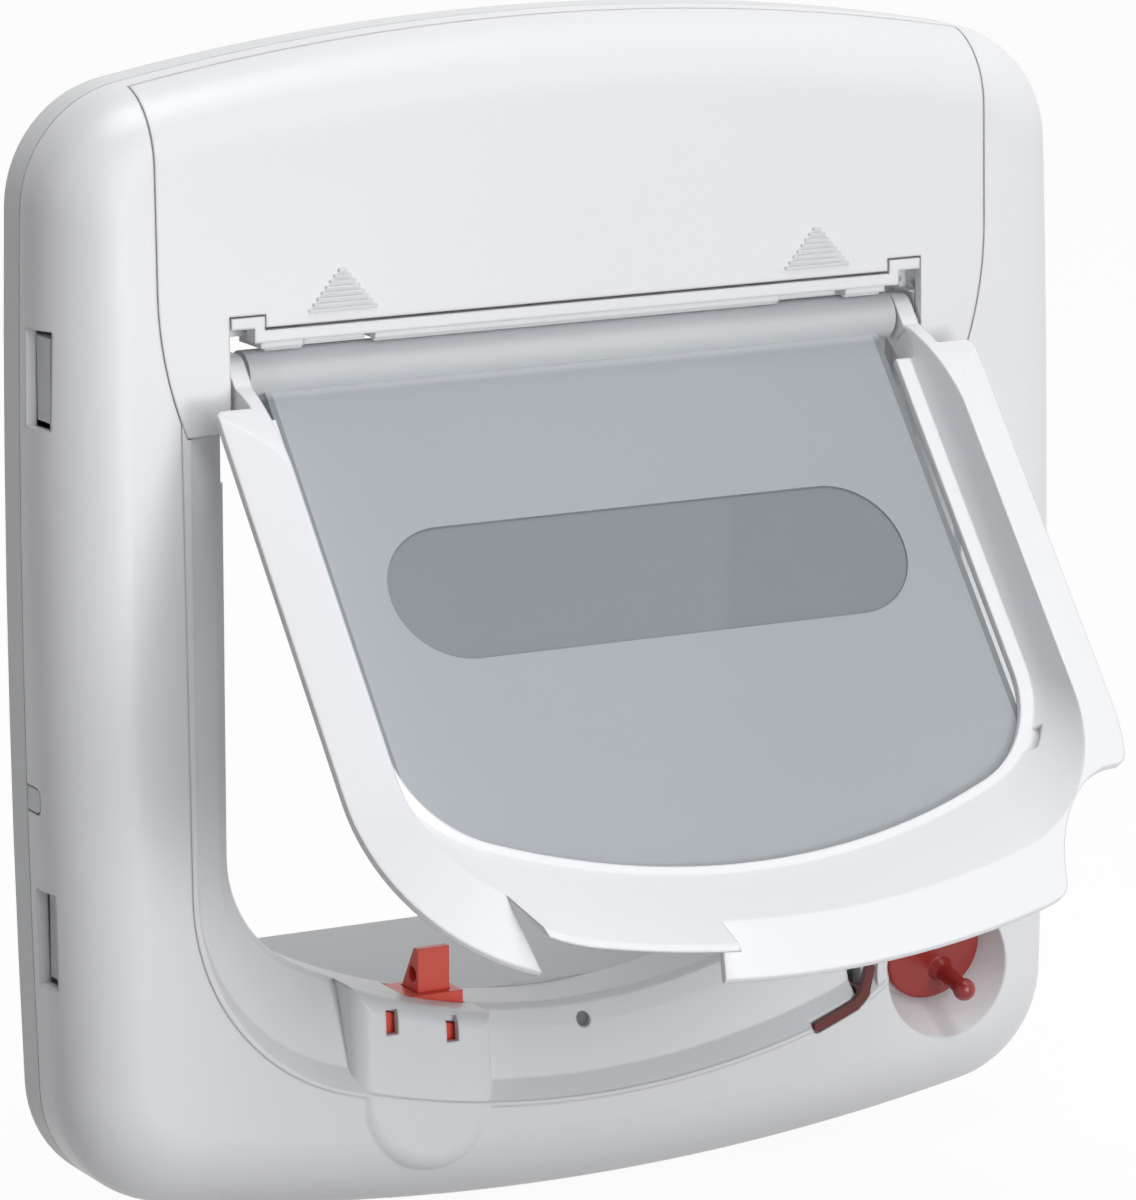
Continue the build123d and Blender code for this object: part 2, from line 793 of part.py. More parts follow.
def make_flap_surround():
    """U-shaped swing frame: sloping flange, dish wall, inner lip, apron and hinge arms."""
    edge_front = level(surround_edge_level)
    over_front = level(crest_level + (crest_level - surround_edge_level) * crest_over)
    apron_front = level(crest_level + (crest_level - floor_level) * apron_reach)
    cap = taper((surround_outline(), edge_front), (over_crest_outline(), over_front))
    cap += slab(surround_outline(), edge_front - surround_edge_thick, edge_front)
    under_cap = cap + slab(surround_outline(), 0, edge_front)
    flange = cap - Pos(0, surround_thick, 0) * cap
    apron_room = slab(apron_plan(), 0, 2 * frame_front)

    floor_back = level(floor_level - surround_thick)
    dish = taper((floor_outline(surround_thick), floor_back), (apron_outline(surround_thick), apron_front))
    hollow = taper(
        (floor_outline(top=hinge_height), level(floor_level)),
        (apron_outline(top=hinge_height), apron_front),
    )
    wall_ring = dish - hollow
    body = (flange - apron_room) + (wall_ring & under_cap) + (wall_ring & apron_room)
    body += across(neck_round_face() - neck_round_face(surround_thick), surround_half) & under_cap
    lip = u_outline(lip_half, lip_low, lip_corner, lip_bow, surround_top + wall)
    body -= slab(lip, 0, 2 * frame_front)
    body &= slab(surround_plan(), 0, 2 * frame_front)

    crest_front = level(crest_level)
    neck = Polygon(
        (hinge_front - knuckle_radius, hinge_height),
        (floor_back, neck_low()),
        (crest_front, neck_low()),
        (crest_front, hinge_height),
        align=None,
    )
    body += arms(neck, knuckle_arm_inner + seam_gap)
    body -= hollow
    body -= across(neck_corner() - neck_round_face(), frame_width)
    barrel = Pos(hinge_front, hinge_height) * Circle(knuckle_radius)
    root = Pos(hinge_front, hinge_height - neck_root) * Rectangle(knuckle_radius, neck_root, align=Align.MIN)
    body += arms(barrel + root, knuckle_arm_inner)
    bore = rod_x((0, ridge_half), hinge_pin_radius + running_gap, hinge_front, hinge_height)
    body -= both_sides(bore)
    slot = block(
        (lip_half / 2, crest_half),
        (level(floor_level), level(floor_level) + lock_slot_width),
        (lock_slot_middle - lock_slot_height / 2, lock_slot_middle + lock_slot_height / 2),
    )
    return body - slot


def make_flap_panel():
    """Clear plate with a roll along its hinge and a shallow pill-shaped window."""
    outline = u_outline(panel_half, panel_low, panel_corner, panel_bow, hinge_height)
    front = level(panel_back_level + panel_thick)
    plate = slab(outline, level(panel_back_level), front)
    plate += rod_x((-panel_knuckle_outer, panel_knuckle_outer), panel_roll_radius, hinge_front, hinge_height)
    bore = rod_x((panel_knuckle_inner, ridge_half), hinge_pin_radius + running_gap, hinge_front, hinge_height)
    plate -= both_sides(bore)
    pill = Pos(0, pill_height) * SlotCenterToCenter(2 * pill_half_length, 2 * pill_radius)
    return plate - slab(pill, front - pill_depth, front + wall)


def make_catch_bolt():
    """Wedge-topped bolt that slides up behind the panel."""
    side = Plane(origin=(bolt_right, 0, 0), x_dir=(0, -1, 0), z_dir=(-1, 0, 0))
    profile = Polygon(
        (bolt_back, bolt_low),
        (bolt_front, bolt_low),
        (bolt_front, bolt_top),
        (bolt_front - bolt_ramp_crown, bolt_top),
        (bolt_back, bolt_top - bolt_ramp),
        align=None,
    )
    bolt = extrude(side * profile, bolt_right - bolt_left)
    middle = bolt_front - (bolt_front - bolt_back) / 3
    return bolt - rod_x((bolt_left, bolt_right), bolt_hole_radius, middle, bolt_top - bolt_hole_drop)


def make_catch_guide():
    """Red carrier: a sleeve for the bolt and a plate behind the housing's windows."""
    right = bolt_right + bolt_gap + guide_wall
    back = bolt_back - bolt_gap - guide_wall
    front = bolt_front + bolt_gap + guide_wall
    guide = block((guide_left, right), (back, front), (guide_low, guide_top))
    guide += block((guide_left, right), (plate_thick, back), (guide_low, guide_low + guide_wall))
    plate_back = guide_plate_front - guide_plate_thick
    plate_left = housing_middle - housing_half + wall + bolt_gap
    plate_right = housing_middle + housing_half - wall - bolt_gap
    step = window_right_x - 2 * window_width
    low = housing_low + wall
    guide += block((guide_left, plate_right), (front, guide_plate_front), (low, low + guide_wall))
    plate = (plate_back, guide_plate_front)
    guide += block((plate_left, step), plate, (low, window_left_z + window_height / 2))
    guide += block((step, plate_right), plate, (low, window_right_z + window_height / 2))
    guide -= slab(sill_outline(throat_top, wall + bolt_gap), plate_back, frame_front)
    hole = block(
        (bolt_left - bolt_gap, bolt_right + bolt_gap),
        (bolt_back - bolt_gap, bolt_front + bolt_gap),
        (guide_low + guide_wall, guide_top + wall),
    )
    return guide - hole


def make_catch_spring():
    """Return spring under the bolt, as one closed helix of wire."""
    low = guide_low + guide_wall + spring_wire
    height = bolt_low - low - spring_wire
    path = Helix(height / spring_turns, height, spring_radius)
    wire = Plane(origin=path @ 0, x_dir=(0, 0, 1), z_dir=path % 0) * Circle(spring_wire / 2)
    spring = sweep(wire, path)
    return Pos((bolt_left + bolt_right) / 2, -(bolt_back + bolt_front) / 2, low) * spring


def coil_low():
    """Foot of the release coil, under the guide."""
    return guide_low - coil_gap - coil_height


def make_latch_coil():
    """Wound bobbin of the release magnet."""
    x = (bolt_left + bolt_right) / 2
    front = (bolt_back + bolt_front) / 2
    coil = rod_z((coil_low(), coil_low() + coil_height), coil_radius, x, front)
    return coil - rod_z((coil_low(), coil_low() + coil_height), core_radius + press_gap, x, front)


def make_coil_core():
    x = (bolt_left + bolt_right) / 2
    return rod_z((coil_low(), coil_low() + coil_height), core_radius, x, (bolt_back + bolt_front) / 2)


def make_selector_knob():
    """Red disc with an off-centre stick handle."""
    disc = knob_disc(knob_radius, seam_gap, knob_thick)
    disc = fillet(disc.edges().group_by(SortBy.LENGTH)[-1].sort_by(Axis.Y)[:1], knob_round)
    place = Pos(stick_x, stick_z)
    foot = loft(
        [
            knob_plane(knob_thick / 2) * place * Circle(2 * stick_radius),
            knob_plane(knob_thick + stick_radius) * place * Circle(stick_radius),
        ]
    )
    ball_level = knob_thick + stick_length - stick_ball
    handle = extrude(knob_plane(knob_thick / 2) * place * Circle(stick_radius), ball_level - knob_thick / 2)
    return disc + foot + handle + knob_plane(ball_level) * place * Sphere(stick_ball)


def make_selector_spindle():
    """Shaft of the knob, with a groove for its ring."""
    shaft = knob_disc(spindle_radius, -spindle_length, seam_gap)
    low = -boss_floor - seam_gap - clip_ring_thick
    groove = knob_disc(clip_ring_radius, low, low + clip_ring_thick) - knob_disc(spindle_neck, low, 0)
    return shaft - groove


def make_spindle_clip():
    low = -boss_floor - seam_gap - clip_ring_thick
    ring = knob_disc(clip_ring_radius, low, low + clip_ring_thick)
    return ring - knob_disc(spindle_neck + press_gap, low, low + clip_ring_thick)


def make_lock_slider():
    """Red blade in front of the flap's lower corner, with a stem back into the frame."""
    blade = slab(lock_outline(), lock_blade_back, lock_blade_front)
    return blade + rod_y((lock_stem_back, lock_blade_back), lock_blade / 2, *lock_corner)


def make_sensor_lens():
    """Lens behind the small hole in the sill."""
    return rod_y((sensor_back, sensor_front), sensor_hole - press_gap, sensor_x, sensor_z)


def tray_height():
    return 2 * (2 * cell_radius + cell_gap) + 2 * tray_wall + cell_gap


def tray_half():
    return cell_length + cell_nub + 3 * contact_thick + cell_gap + tray_wall


def tray_screw_places():
    return (-tray_half() - screw_head - cell_gap, tray_half() + screw_head + cell_gap)


def cell_rows():
    first = tray_low + tray_wall + cell_gap + cell_radius
    return (first, first + 2 * cell_radius + cell_gap)


def cell_front():
    return plate_thick + tray_wall + cell_gap + cell_radius


def make_battery_tray():
    """Open tray for four cells, two beside each other in two rows."""
    high = tray_low + tray_height()
    front = cell_front()
    half = tray_half()
    tray = block((-half, half), (plate_thick, front), (tray_low, high))
    for x in tray_screw_places():
        reach = screw_head + cell_gap
        tray += block((x - reach, x + reach), (plate_thick, plate_thick + tray_wall), (tray_low, high))
        tray -= rod_y((0, seam_front), screw_radius, x, tray_low + tray_height() / 2)
    for side in ((-half + tray_wall, -contact_thick), (contact_thick, half - tray_wall)):
        for row in cell_rows():
            tray -= rod_x(side, cell_radius + cell_gap / 2, front, row)
    return tray


def make_battery_cells():
    """Four cells, alternating in direction."""
    cells = []
    for column, side in enumerate((-1, 1)):
        near = 2 * contact_thick + cell_gap / 2
        for row, height in enumerate(cell_rows()):
            body = rod_x((near, near + cell_length), cell_radius, cell_front(), height)
            far = near + cell_length
            nub = rod_x((far, far + cell_nub), cell_nub_radius, cell_front(), height)
            cell = body + nub
            cells.append(cell if side > 0 else mirror(cell, about=Plane.YZ))
    return Compound(children=cells)


def make_battery_contacts():
    """Spring-steel contact strips at both ends of the cells."""
    reach = cell_radius * 0.7
    end = 2 * contact_thick + cell_gap / 2 + cell_length + cell_nub
    strips = []
    for height in cell_rows():
        for low in (contact_thick + cell_gap / 4, end):
            strip = block(
                (low, low + contact_thick),
                (cell_front() - reach, cell_front() + reach),
                (height - reach, height + reach),
            )
            strips.append(strip)
            strips.append(mirror(strip, about=Plane.YZ))
    return Compound(children=strips)


def board_centre():
    return tray_half() + 2 * (screw_head + cell_gap) + board_gap + board_width / 2


def board_screw_heights():
    middle = tray_low + tray_height() / 2
    reach = board_height / 2 - screw_head - 1
    return (middle - reach, middle + reach)


def make_circuit_board():
    middle = tray_low + tray_height() / 2
    back = plate_thick + board_stand
    board = block(
        (board_centre() - board_width / 2, board_centre() + board_width / 2),
        (back, back + board_thick),
        (middle - board_height / 2, middle + board_height / 2),
    )
    for z in board_screw_heights():
        board -= rod_y((0, seam_front + wall), screw_radius, board_centre(), z)
    return board


def make_board_screws():
    back = plate_thick + board_stand + board_thick
    screws = []
    for z in board_screw_heights():
        shank = rod_y((back - screw_length, back), screw_radius - press_gap, board_centre(), z)
        screws.append(shank + rod_y((back, back + screw_head_height), screw_head, board_centre(), z))
    return Compound(children=screws)


def make_tray_screws():
    seat = plate_thick + tray_wall
    z = tray_low + tray_height() / 2
    screws = []
    for x in tray_screw_places():
        shank = rod_y((plate_thick / 2, seat), screw_radius - press_gap, x, z)
        screws.append(shank + rod_y((seat, seat + screw_head_height), screw_head, x, z))
    return Compound(children=screws)


def magnet(x_centre, back, z_low):
    span = (x_centre - magnet_length / 2, x_centre + magnet_length / 2)
    return block(span, (back, back + magnet_thick), (z_low, z_low + magnet_width))


def make_panel_magnet():
    """Bar on the back of the panel's foot."""
    return magnet(0, level(panel_back_level) - magnet_thick, panel_low + wall)


def make_sill_magnet():
    """Bar on the back plate under the sill."""
    return magnet(sensor_x + magnet_length, plate_thick, tunnel_low - tunnel_wall - tunnel_flange - 3 * wall)


def main():
    os.makedirs("parts", exist_ok=True)
    pieces = {
        "front_cover": make_front_cover(),
        "top_cover": make_top_cover(),
        "back_plate": make_back_plate(),
        "tunnel_liner": make_tunnel_liner(),
        "hinge_bar": make_hinge_bar(),
        "bar_screws": make_bar_screws(),
        "hinge_pins": make_hinge_pins(),
        "flap_surround": swing_open(make_flap_surround()),
        "flap_panel": swing_open(make_flap_panel()),
        "panel_magnet": swing_open(make_panel_magnet()),
        "catch_bolt": make_catch_bolt(),
        "catch_guide": make_catch_guide(),
        "catch_spring": make_catch_spring(),
        "latch_coil": make_latch_coil(),
        "coil_core": make_coil_core(),
        "selector_knob": make_selector_knob(),
        "selector_spindle": make_selector_spindle(),
        "spindle_clip": make_spindle_clip(),
        "lock_slider": make_lock_slider(),
        "sensor_lens": make_sensor_lens(),
        "sill_magnet": make_sill_magnet(),
        "battery_tray": make_battery_tray(),
        "battery_cells": make_battery_cells(),
        "battery_contacts": make_battery_contacts(),
        "tray_screws": make_tray_screws(),
        "circuit_board": make_circuit_board(),
        "board_screws": make_board_screws(),
    }
    for name, shape in pieces.items():
        export_step(shape, f"parts/{name}.step")


if __name__ == "__main__":
    main()
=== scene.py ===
import math

import bpy
from mathutils import Matrix, Vector


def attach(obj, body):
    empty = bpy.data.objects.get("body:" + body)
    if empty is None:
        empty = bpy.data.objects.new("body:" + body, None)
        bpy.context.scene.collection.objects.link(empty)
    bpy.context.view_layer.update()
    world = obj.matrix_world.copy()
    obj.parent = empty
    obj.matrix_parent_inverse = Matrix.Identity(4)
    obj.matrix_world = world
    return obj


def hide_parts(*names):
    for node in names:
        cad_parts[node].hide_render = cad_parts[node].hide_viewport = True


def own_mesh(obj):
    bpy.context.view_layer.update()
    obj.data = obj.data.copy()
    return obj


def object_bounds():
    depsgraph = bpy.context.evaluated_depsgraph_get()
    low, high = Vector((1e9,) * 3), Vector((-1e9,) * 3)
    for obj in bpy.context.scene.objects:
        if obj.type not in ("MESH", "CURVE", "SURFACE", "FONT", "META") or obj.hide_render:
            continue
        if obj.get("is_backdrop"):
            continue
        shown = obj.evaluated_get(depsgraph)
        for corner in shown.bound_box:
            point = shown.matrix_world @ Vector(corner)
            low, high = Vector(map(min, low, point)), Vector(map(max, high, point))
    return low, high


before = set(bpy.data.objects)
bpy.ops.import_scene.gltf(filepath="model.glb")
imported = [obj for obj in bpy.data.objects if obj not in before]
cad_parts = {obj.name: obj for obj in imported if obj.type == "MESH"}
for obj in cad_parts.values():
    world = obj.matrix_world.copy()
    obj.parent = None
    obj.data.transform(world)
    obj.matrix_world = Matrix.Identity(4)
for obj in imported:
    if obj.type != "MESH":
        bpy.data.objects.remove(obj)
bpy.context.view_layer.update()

bl_info = {
    "name": "Cat flap dressing",
    "version": (1, 0, 0),
    "blender": (4, 5, 0),
    "location": "View3D > Sidebar > Cat flap",
    "description": "Dresses the cat flap's frame, swing flap, catch and lock, and sets its studio",
    "category": "Object",
}

MM = 0.001

# A Mix node's sockets share their names, so they go by number: two in and one out
COLOUR_A, COLOUR_B, COLOUR_OUT = 6, 7, 2
VALUE_A, VALUE_B, VALUE_OUT = 2, 3, 0

# Moulded plastics
PLASTIC_IOR = 1.53
CLOUD_MM = 60.0
CLOUD_DETAIL = 1.0
GRAIN_DETAIL = 2.0
GRAIN_STRENGTH = 0.6
GLOSS_SPREAD = 0.15
EDGE_SAMPLES = 4

# Metals
STREAK_STRETCH = (0.1, 1.0, 1.0)
SHEEN_LOW = 0.7
SHEEN_HIGH = 1.4

# Clear panel
PLATE_BLEND_MM = 2.0
RIM_MM = 1.5
RIM_BLEND_MM = 0.2
PILL_INSIDE_MM = 0.05
PILL_OUTSIDE_MM = 0.15
HAZE_GRAIN_MM = 0.45
HAZE_DEPTH_MM = 0.02
HAZE_STRENGTH = 0.4
HAZE_ROUGHNESS = 0.5
HAZE_IOR = 1.3
HAZE_TRANSMISSION = 0.25
WINDOW_ROUGHNESS = 0.06
WINDOW_IOR = 1.2
WINDOW_TRANSMISSION = 0.3

# Studio
WHITE = (1.0, 1.0, 1.0, 1.0)
SKY_BRIGHT_SIDE = (0.65, 0.72, 0.25)
SKY_TURN = -0.2
SKY_DARK = 0.01
SKY_BRIGHT = 1.15
SEEN_STRENGTH = 1.0
FLOOR_HALF = 3.0
FLOOR_GREY = (0.5, 0.5, 0.5, 1.0)
FLOOR_GLOW = 1.05
FLOOR_GLOW_SHARE = 0.9
SENSOR_HEIGHT = 36.0
NEAREST = 0.05


def linear(hex_colour):
    """Linear RGBA of an sRGB hex colour."""
    channels = [int(hex_colour[i:i + 2], 16) / 255 for i in (1, 3, 5)]
    return tuple(c / 12.92 if c <= 0.04045 else ((c + 0.055) / 1.055) ** 2.4 for c in channels) + (1.0,)


def add_node(owner, kind, inputs=None, **settings):
    """Adds a node to a material or world, sets its attributes, and links or fills its input sockets."""
    tree = owner.node_tree
    node = tree.nodes.new(kind)
    for name, value in settings.items():
        setattr(node, name, value)
    for socket, value in (inputs or {}).items():
        if isinstance(value, bpy.types.NodeSocket):
            tree.links.new(value, node.inputs[socket])
        else:
            node.inputs[socket].default_value = value
    return node


def clear_nodes(owner):
    """Gives a material or world an empty node tree."""
    owner.use_nodes = True
    owner.node_tree.nodes.clear()
    return owner


def moulded_plastic(name, colour, roughness, grain_mm, grain_depth_mm, edge_mm, tone=0.03):
    """Injection-moulded plastic: even colour, fine eroded grain and softly broken edges."""
    material = clear_nodes(bpy.data.materials.new(name))
    place = add_node(material, "ShaderNodeTexCoord").outputs["Object"]
    grain = add_node(
        material,
        "ShaderNodeTexNoise",
        {"Vector": place, "Scale": 1 / (grain_mm * MM), "Detail": GRAIN_DETAIL},
    )
    cloud = add_node(
        material,
        "ShaderNodeTexNoise",
        {"Vector": place, "Scale": 1 / (CLOUD_MM * MM), "Detail": CLOUD_DETAIL},
    )
    dark = tuple(channel * (1 - tone) for channel in colour[:3]) + (1.0,)
    tint = add_node(
        material,
        "ShaderNodeMix",
        {"Factor": cloud.outputs["Fac"], COLOUR_A: dark, COLOUR_B: colour},
        data_type="RGBA",
    )
    rough = add_node(
        material,
        "ShaderNodeMapRange",
        {
            "Value": grain.outputs["Fac"],
            "To Min": roughness * (1 - GLOSS_SPREAD),
            "To Max": roughness * (1 + GLOSS_SPREAD),
        },
    )
    edge = add_node(material, "ShaderNodeBevel", {"Radius": edge_mm * MM}, samples=EDGE_SAMPLES)
    bump = add_node(
        material,
        "ShaderNodeBump",
        {
            "Height": grain.outputs["Fac"],
            "Normal": edge.outputs["Normal"],
            "Distance": grain_depth_mm * MM,
            "Strength": GRAIN_STRENGTH,
        },
    )
    skin = add_node(
        material,
        "ShaderNodeBsdfPrincipled",
        {
            "Base Color": tint.outputs[COLOUR_OUT],
            "Roughness": rough.outputs["Result"],
            "Normal": bump.outputs["Normal"],
            "IOR": PLASTIC_IOR,
        },
    )
    add_node(material, "ShaderNodeOutputMaterial", {"Surface": skin.outputs["BSDF"]})
    return material


def plated_metal(name, colour, roughness, streak_mm):
    """Plated or drawn metal: a tight sheen with fine drawing lines."""
    material = clear_nodes(bpy.data.materials.new(name))
    place = add_node(material, "ShaderNodeTexCoord").outputs["Object"]
    stretch = add_node(material, "ShaderNodeMapping", {"Vector": place, "Scale": STREAK_STRETCH})
    streak = add_node(
        material,
        "ShaderNodeTexNoise",
        {"Vector": stretch.outputs["Vector"], "Scale": 1 / (streak_mm * MM)},
    )
    rough = add_node(
        material,
        "ShaderNodeMapRange",
        {
            "Value": streak.outputs["Fac"],
            "To Min": roughness * SHEEN_LOW,
            "To Max": roughness * SHEEN_HIGH,
        },
    )
    skin = add_node(
        material,
        "ShaderNodeBsdfPrincipled",
        {"Base Color": colour, "Roughness": rough.outputs["Result"], "Metallic": 1.0},
    )
    add_node(material, "ShaderNodeOutputMaterial", {"Surface": skin.outputs["BSDF"]})
    return material


def hazy_panel(name, colours, sizes):
    """Polycarbonate panel: a milky grained haze, clear in a pill-shaped window and along its sides."""
    down = Vector((0, -math.sin(sizes.open_angle), -math.cos(sizes.open_angle)))
    hinge_level = down.dot(Vector(sizes.hinge))
    material = clear_nodes(bpy.data.materials.new(name))
    place = add_node(material, "ShaderNodeTexCoord").outputs["Object"]
    split = add_node(material, "ShaderNodeSeparateXYZ", {"Vector": place})
    across = add_node(material, "ShaderNodeMath", {0: split.outputs["X"]}, operation="ABSOLUTE")
    along = add_node(material, "ShaderNodeVectorMath", {0: place, 1: down}, operation="DOT_PRODUCT")
    # Distance from the window's middle line, which gives the window its round ends
    past = add_node(
        material,
        "ShaderNodeMath",
        {0: across.outputs["Value"], 1: sizes.pill_half_length},
        operation="SUBTRACT",
    )
    past = add_node(material, "ShaderNodeMath", {0: past.outputs["Value"], 1: 0.0}, operation="MAXIMUM")
    drop = add_node(
        material,
        "ShaderNodeMath",
        {0: along.outputs["Value"], 1: hinge_level + sizes.pill_drop},
        operation="SUBTRACT",
    )
    reach = add_node(
        material, "ShaderNodeCombineXYZ", {"X": past.outputs["Value"], "Y": drop.outputs["Value"]}
    )
    reach = add_node(material, "ShaderNodeVectorMath", {0: reach.outputs["Vector"]}, operation="LENGTH")
    pill = add_node(
        material,
        "ShaderNodeMapRange",
        {
            "Value": reach.outputs["Value"],
            "From Min": sizes.pill_radius - PILL_INSIDE_MM * MM,
            "From Max": sizes.pill_radius + PILL_OUTSIDE_MM * MM,
            "To Min": 1.0,
            "To Max": 0.0,
        },
    )
    rim = add_node(
        material,
        "ShaderNodeMapRange",
        {
            "Value": across.outputs["Value"],
            "From Min": sizes.half - RIM_MM * MM,
            "From Max": sizes.half - (RIM_MM - RIM_BLEND_MM) * MM,
        },
    )
    plate = add_node(
        material,
        "ShaderNodeMapRange",
        {
            "Value": along.outputs["Value"],
            "From Min": hinge_level + sizes.plate_start,
            "From Max": hinge_level + sizes.plate_start + PLATE_BLEND_MM * MM,
        },
    )
    edge = add_node(
        material,
        "ShaderNodeMath",
        {0: rim.outputs["Result"], 1: plate.outputs["Result"]},
        operation="MULTIPLY",
    )
    polished = add_node(
        material,
        "ShaderNodeMath",
        {0: pill.outputs["Result"], 1: edge.outputs["Value"]},
        operation="MAXIMUM",
    )
    grain = add_node(
        material,
        "ShaderNodeTexNoise",
        {"Vector": place, "Scale": 1 / (HAZE_GRAIN_MM * MM), "Detail": GRAIN_DETAIL},
    )
    bump = add_node(
        material,
        "ShaderNodeBump",
        {
            "Height": grain.outputs["Fac"],
            "Distance": HAZE_DEPTH_MM * MM,
            "Strength": HAZE_STRENGTH,
        },
    )
    # The roll gets a lighter colour than the plate: painted light that lifts the shade on the roll,
    # which faces down and forward
    haze = add_node(
        material,
        "ShaderNodeMix",
        {"Factor": plate.outputs["Result"], COLOUR_A: colours.roll, COLOUR_B: colours.panel},
        data_type="RGBA",
    )
    # Both refract less than solid polycarbonate, so that the plate doesn't shift what lies behind it
    milky = add_node(
        material,
        "ShaderNodeBsdfPrincipled",
        {
            "Base Color": haze.outputs[COLOUR_OUT],
            "Normal": bump.outputs["Normal"],
            "Roughness": HAZE_ROUGHNESS,
            "IOR": HAZE_IOR,
            "Transmission Weight": HAZE_TRANSMISSION,
        },
    )
    # The window's grey base colour is painted shade for the tunnel wall seen through it; only part of
    # the light passes through
    glassy = add_node(
        material,
        "ShaderNodeBsdfPrincipled",
        {
            "Base Color": colours.pill,
            "Roughness": WINDOW_ROUGHNESS,
            "IOR": WINDOW_IOR,
            "Transmission Weight": WINDOW_TRANSMISSION,
        },
    )
    skin = add_node(
        material,
        "ShaderNodeMixShader",
        {0: polished.outputs["Value"], 1: milky.outputs["BSDF"], 2: glassy.outputs["BSDF"]},
    )
    add_node(material, "ShaderNodeOutputMaterial", {"Surface": skin.outputs["Shader"]})
    return material


def dress(nodes, material):
    """Gives CAD nodes a material in place of their own."""
    for name in nodes:
        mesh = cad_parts[name].data
        mesh.materials.clear()
        mesh.materials.append(material)


class FLAP_PG_colours(bpy.types.PropertyGroup):
    shell: bpy.props.FloatVectorProperty(
        name="Shell",
        description="White of the visible mouldings",
        subtype="COLOR",
        size=4,
        default=linear("#E6E7EA"),
    )
    inner: bpy.props.FloatVectorProperty(
        name="Inner",
        description="White of the plate and the tunnel",
        subtype="COLOR",
        size=4,
        default=linear("#DCDEE0"),
    )
    # Lifted above the acetal's own red: painted light on the catch and its carrier, which sit in shade.
    red: bpy.props.FloatVectorProperty(
        name="Red",
        description="Red of the catch and its carrier",
        subtype="COLOR",
        size=4,
        default=linear("#E8513F"),
    )
    # The acetal red made darker: painted shade on the knob.
    knob_red_painted_shade: bpy.props.FloatVectorProperty(
        name="Knob red",
        description="Red of the knob",
        subtype="COLOR",
        size=4,
        default=linear("#962823"),
    )
    # The acetal red made near black: painted shade on the lock strip, which lies in the shadow of its
    # slot.
    dark_red: bpy.props.FloatVectorProperty(
        name="Dark red",
        description="Red of the lock strip",
        subtype="COLOR",
        size=4,
        default=linear("#5E140D"),
    )
    panel: bpy.props.FloatVectorProperty(
        name="Panel",
        description="Tint of the grained panel",
        subtype="COLOR",
        size=4,
        default=linear("#B2B7BC"),
    )
    # Lighter than the panel's tint: painted light that lifts the shade on the roll, which faces down
    # and forward.
    roll: bpy.props.FloatVectorProperty(
        name="Roll",
        description="Tint of the panel's thick hinge roll",
        subtype="COLOR",
        size=4,
        default=linear("#DCE0E3"),
    )
    # The window's grey is painted shade: it stands for the shaded tunnel wall seen through the window.
    pill: bpy.props.FloatVectorProperty(
        name="Pill",
        description="Tint of the clear window",
        subtype="COLOR",
        size=4,
        default=linear("#969DA0"),
    )


class FLAP_PG_sizes(bpy.types.PropertyGroup):
    hinge: bpy.props.FloatVectorProperty(
        name="Hinge",
        description="Middle of the flap's hinge line",
        subtype="TRANSLATION",
        unit="LENGTH",
        default=(0.0, -19.8 * MM, 56.7 * MM),
    )
    open_angle: bpy.props.FloatProperty(
        name="Open angle",
        description="How far the flap stands open at rest",
        unit="ROTATION",
        default=math.radians(40),
    )
    half: bpy.props.FloatProperty(
        name="Half width", description="Half the clear panel's width", unit="LENGTH", default=72.6 * MM
    )
    plate_start: bpy.props.FloatProperty(
        name="Plate start",
        description="Where the panel's plate leaves its roll, below the hinge",
        unit="LENGTH",
        default=5 * MM,
    )
    pill_drop: bpy.props.FloatProperty(
        name="Window drop",
        description="Hinge to the window's middle line",
        unit="LENGTH",
        default=55.2 * MM,
    )
    pill_half_length: bpy.props.FloatProperty(
        name="Window half length",
        description="Half the window's straight part",
        unit="LENGTH",
        default=45 * MM,
    )
    pill_radius: bpy.props.FloatProperty(
        name="Window radius",
        description="Radius of the window's round ends",
        unit="LENGTH",
        default=15.3 * MM,
    )


class FLAP_PG_studio(bpy.types.PropertyGroup):
    azimuth: bpy.props.FloatProperty(
        name="Azimuth",
        description="Camera's turn to the left",
        unit="ROTATION",
        default=math.radians(28.166),
    )
    elevation: bpy.props.FloatProperty(
        name="Elevation",
        description="Camera's height angle",
        unit="ROTATION",
        default=math.radians(12.257),
    )
    distance: bpy.props.FloatProperty(
        name="Distance", description="Camera to the door's face", unit="LENGTH", default=1464.8 * MM
    )
    lens: bpy.props.FloatProperty(
        name="Lens", description="Focal length on a 36 mm high frame", unit="CAMERA", default=205.68
    )
    aside: bpy.props.FloatProperty(
        name="Aside", description="Aim to the right", unit="LENGTH", default=8.97 * MM
    )
    above: bpy.props.FloatProperty(
        name="Above", description="Aim upwards", unit="LENGTH", default=-2.01 * MM
    )
    top_power: bpy.props.FloatProperty(
        name="Top lamp", description="Power of the lamp above", unit="POWER", default=13.8
    )
    front_power: bpy.props.FloatProperty(
        name="Front lamp", description="Power of the lamp in front", unit="POWER", default=9.6
    )
    low_power: bpy.props.FloatProperty(
        name="Low lamp", description="Power of the lamp near the floor", unit="POWER", default=0.75
    )


